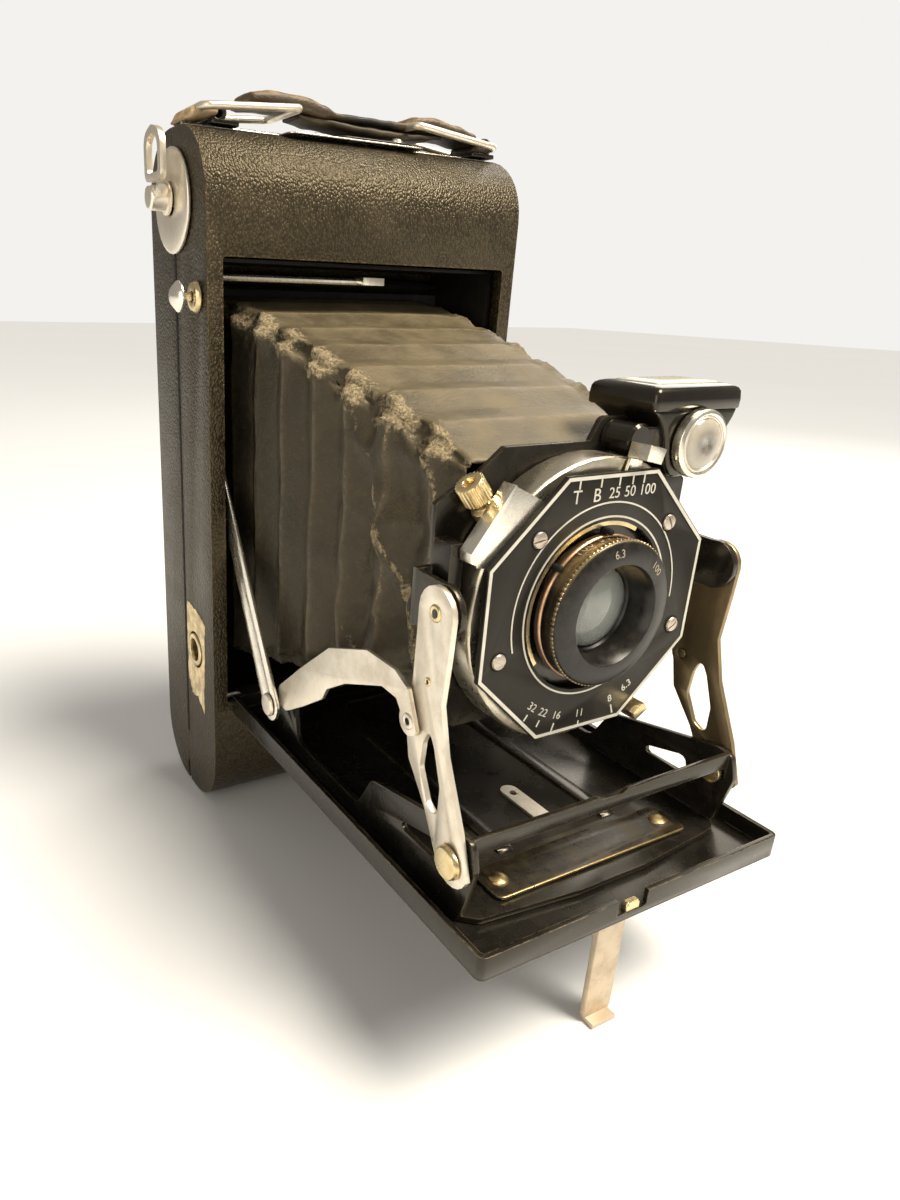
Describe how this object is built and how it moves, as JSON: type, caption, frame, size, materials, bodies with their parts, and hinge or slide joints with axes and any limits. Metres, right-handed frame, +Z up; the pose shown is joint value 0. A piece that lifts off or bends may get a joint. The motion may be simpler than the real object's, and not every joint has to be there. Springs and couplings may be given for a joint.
{
  "type": "folding roll-film camera",
  "caption": "Upright self-erecting folding roll-film camera, opened: leather-covered body, drop bed, tapered bellows, lens standard with shutter and finder, folding leg and top handle.",
  "frame": {"origin": "middle of the base, on the ground plane, under the middle of the body's depth", "axes": "+Z up, -Y the way the lens looks, +X to the right seen from the front"},
  "size_m": [0.0863, 0.1325, 0.1649],
  "materials": {
    "leather": "black grained covering with worn brown edges",
    "enamel": "glossy black enamel",
    "inner": "dull black paint inside",
    "nickel": "aged nickel plate, slightly warm",
    "brass": "worn brass",
    "steel": "dull plated steel",
    "glass": "clear polished glass",
    "cloth": "thin pleated leather over cloth, brown-black, frayed at the folds",
    "strap": "brown strap leather, black in the middle",
    "red": "red inspection window"
  },
  "bodies": {
    "body": {"front_shell": "leather", "film_chamber": "inner", "key_plate": "nickel", "tripod_bush": "brass", "button_collar": "brass", "handle_bracket_left": "nickel", "handle_bracket_right": "nickel", "bed_hinge_pin": "steel", "bellows": "cloth"},
    "back": {"back_cover": "leather", "red_window": "red", "pressure_plate": "inner", "pressure_spring": "steel"},
    "back_latch": {"back_latch": "steel"},
    "winding": {"key_shaft": "nickel", "takeup_spool": "inner"},
    "key_wing": {"key_wing": "nickel"},
    "supply": {"supply_spool": "inner"},
    "roller_top": {"film_roller_top": "nickel"},
    "roller_bottom": {"film_roller_bottom": "nickel"},
    "release": {"release_button": "nickel", "latch_bar": "nickel"},
    "loop_left": {"handle_loop_left": "nickel"},
    "loop_right": {"handle_loop_right": "nickel"},
    "strap": {"handle_strap": "strap"},
    "bed": {"bed_pan": "enamel", "bed_frame": "enamel", "nameplate": "brass", "strut_pivot_left": "brass", "strut_pivot_right": "brass", "brace_pivot_left": "brass", "brace_pivot_right": "brass"},
    "leg": {"support_leg": "nickel"},
    "strut_left": {"strut_left": "nickel"},
    "strut_right": {"strut_right": "nickel"},
    "link_left": {"bridge_link_left": "nickel"},
    "link_right": {"bridge_link_right": "nickel"},
    "brace_left": {"bed_brace_left": "nickel"},
    "brace_right": {"bed_brace_right": "nickel"},
    "standard": {"lens_standard": "enamel", "shutter_housing": "enamel", "dial_ring": "steel", "shutter_faceplate": "enamel", "faceplate_screw_1": "nickel", "faceplate_screw_2": "nickel", "faceplate_screw_3": "nickel", "faceplate_screw_4": "nickel", "cable_socket": "steel", "rear_lens_cell": "enamel"},
    "speed": {"speed_lever": "nickel"},
    "aperture": {"aperture_lever": "brass", "iris_blades": "inner"},
    "shutter_release": {"release_lever": "steel"},
    "focusing": {"focusing_ring": "enamel", "front_lens": "glass"},
    "finder": {"finder_body": "enamel", "finder_cap": "enamel", "finder_window": "glass", "finder_lens": "nickel"}
  },
  "joints": [
    {"name": "bed_fold", "type": "hinge", "parent": "body", "child": "bed", "pos_m": [0, -0.0145, 0.0315], "axis": [-1, 0, 0], "range_deg": [0, 90], "deforming": ["bellows"]},
    {"name": "strut_fold_left", "type": "hinge", "parent": "bed", "child": "strut_left", "pos_m": [-0.0325, -0.1025, 0.0415], "axis": [-1, 0, 0], "range_deg": [0, 80]},
    {"name": "strut_fold_right", "type": "hinge", "parent": "bed", "child": "strut_right", "pos_m": [0.0325, -0.1025, 0.0415], "axis": [-1, 0, 0], "range_deg": [0, 80]},
    {"name": "standard_swing", "type": "hinge", "parent": "strut_left", "child": "standard", "pos_m": [0, -0.0933, 0.081], "axis": [-1, 0, 0], "range_deg": [-170, 0]},
    {"name": "bridge_link_fold_left", "type": "hinge", "parent": "strut_left", "child": "link_left", "pos_m": [-0.0337, -0.0897, 0.0609], "axis": [-1, 0, 0], "range_deg": [-123, 0]},
    {"name": "bridge_link_fold_right", "type": "hinge", "parent": "strut_right", "child": "link_right", "pos_m": [0.0337, -0.0897, 0.0609], "axis": [-1, 0, 0], "range_deg": [-123, 0]},
    {"name": "brace_fold_left", "type": "hinge", "parent": "bed", "child": "brace_left", "pos_m": [-0.035, -0.0392, 0.0406], "axis": [-1, 0, 0], "range_deg": [-125, 0]},
    {"name": "brace_fold_right", "type": "hinge", "parent": "bed", "child": "brace_right", "pos_m": [0.035, -0.0392, 0.0406], "axis": [-1, 0, 0], "range_deg": [-125, 0]},
    {"name": "leg_fold", "type": "hinge", "parent": "bed", "child": "leg", "pos_m": [0, -0.109, 0.0266], "axis": [1, 0, 0], "range_deg": [0, 90]},
    {"name": "back_open", "type": "hinge", "parent": "body", "child": "back", "pos_m": [0, -0.0015, 0.0029], "axis": [-1, 0, 0], "range_deg": [0, 95]},
    {"name": "back_latch_slide", "type": "slide", "parent": "back", "child": "back_latch", "axis": [0, 1, 0], "range_m": [0, 0.003]},
    {"name": "key_turn", "type": "hinge", "parent": "body", "child": "winding", "pos_m": [-0.04, 0.0005, 0.1443], "axis": [-1, 0, 0], "continuous": true},
    {"name": "key_wing_fold", "type": "hinge", "parent": "winding", "child": "key_wing", "pos_m": [-0.0442, 0.0005, 0.1454], "axis": [0, -1, 0], "range_deg": [0, 90]},
    {"name": "supply_spin", "type": "hinge", "parent": "body", "child": "supply", "pos_m": [0, 0.0005, 0.0137], "axis": [-1, 0, 0], "continuous": true},
    {"name": "roller_top_spin", "type": "hinge", "parent": "body", "child": "roller_top", "pos_m": [0, 0.0096, 0.1287], "axis": [-1, 0, 0], "continuous": true},
    {"name": "roller_bottom_spin", "type": "hinge", "parent": "body", "child": "roller_bottom", "pos_m": [0, 0.0096, 0.0343], "axis": [-1, 0, 0], "continuous": true},
    {"name": "release_push", "type": "slide", "parent": "body", "child": "release", "axis": [1, 0, 0], "range_m": [0, 0.002]},
    {"name": "handle_lift", "type": "hinge", "parent": "body", "child": "loop_left", "pos_m": [-0.032, 0, 0.1609], "axis": [0, -1, 0], "range_deg": [0, 12]},
    {"name": "handle_lift_right", "type": "hinge", "parent": "body", "child": "loop_right", "pos_m": [0.038, 0, 0.1609], "axis": [0, 1, 0], "range_deg": [0, 12]},
    {"name": "handle_strap_rise", "type": "slide", "parent": "body", "child": "strap", "axis": [0, 0, 1], "range_m": [0, 0.004]},
    {"name": "focus_turn", "type": "hinge", "parent": "standard", "child": "focusing", "pos_m": [0, -0.0925, 0.07735], "axis": [0, -1, 0], "range_deg": [-40, 220]},
    {"name": "speed_set", "type": "hinge", "parent": "standard", "child": "speed", "pos_m": [0, -0.0935, 0.07735], "axis": [0, -1, 0], "range_deg": [0, 35]},
    {"name": "aperture_set", "type": "hinge", "parent": "standard", "child": "aperture", "pos_m": [0, -0.0935, 0.07735], "axis": [0, -1, 0], "range_deg": [-50, 0]},
    {"name": "shutter_release_press", "type": "hinge", "parent": "standard", "child": "shutter_release", "pos_m": [0, -0.0935, 0.07735], "axis": [0, -1, 0], "range_deg": [0, 10]},
    {"name": "finder_swivel", "type": "hinge", "parent": "standard", "child": "finder", "pos_m": [0.0074, -0.0855, 0.105], "axis": [0, 1, 0], "range_deg": [-90, 0]}
  ],
  "couplings": [
    {"joint": "strut_fold_left", "follows": "bed_fold", "ratio": 0.885},
    {"joint": "strut_fold_right", "follows": "bed_fold", "ratio": 0.885},
    {"joint": "standard_swing", "follows": "bed_fold", "ratio": -1.885},
    {"joint": "bridge_link_fold_left", "follows": "bed_fold", "ratio": -1.365},
    {"joint": "bridge_link_fold_right", "follows": "bed_fold", "ratio": -1.365},
    {"joint": "brace_fold_left", "follows": "bed_fold", "ratio": -1.386},
    {"joint": "brace_fold_right", "follows": "bed_fold", "ratio": -1.386},
    {"joint": "handle_lift_right", "follows": "handle_lift", "ratio": 1},
    {"joint": "handle_strap_rise", "follows": "handle_lift", "m_per_rad": 0.0179}
  ]
}
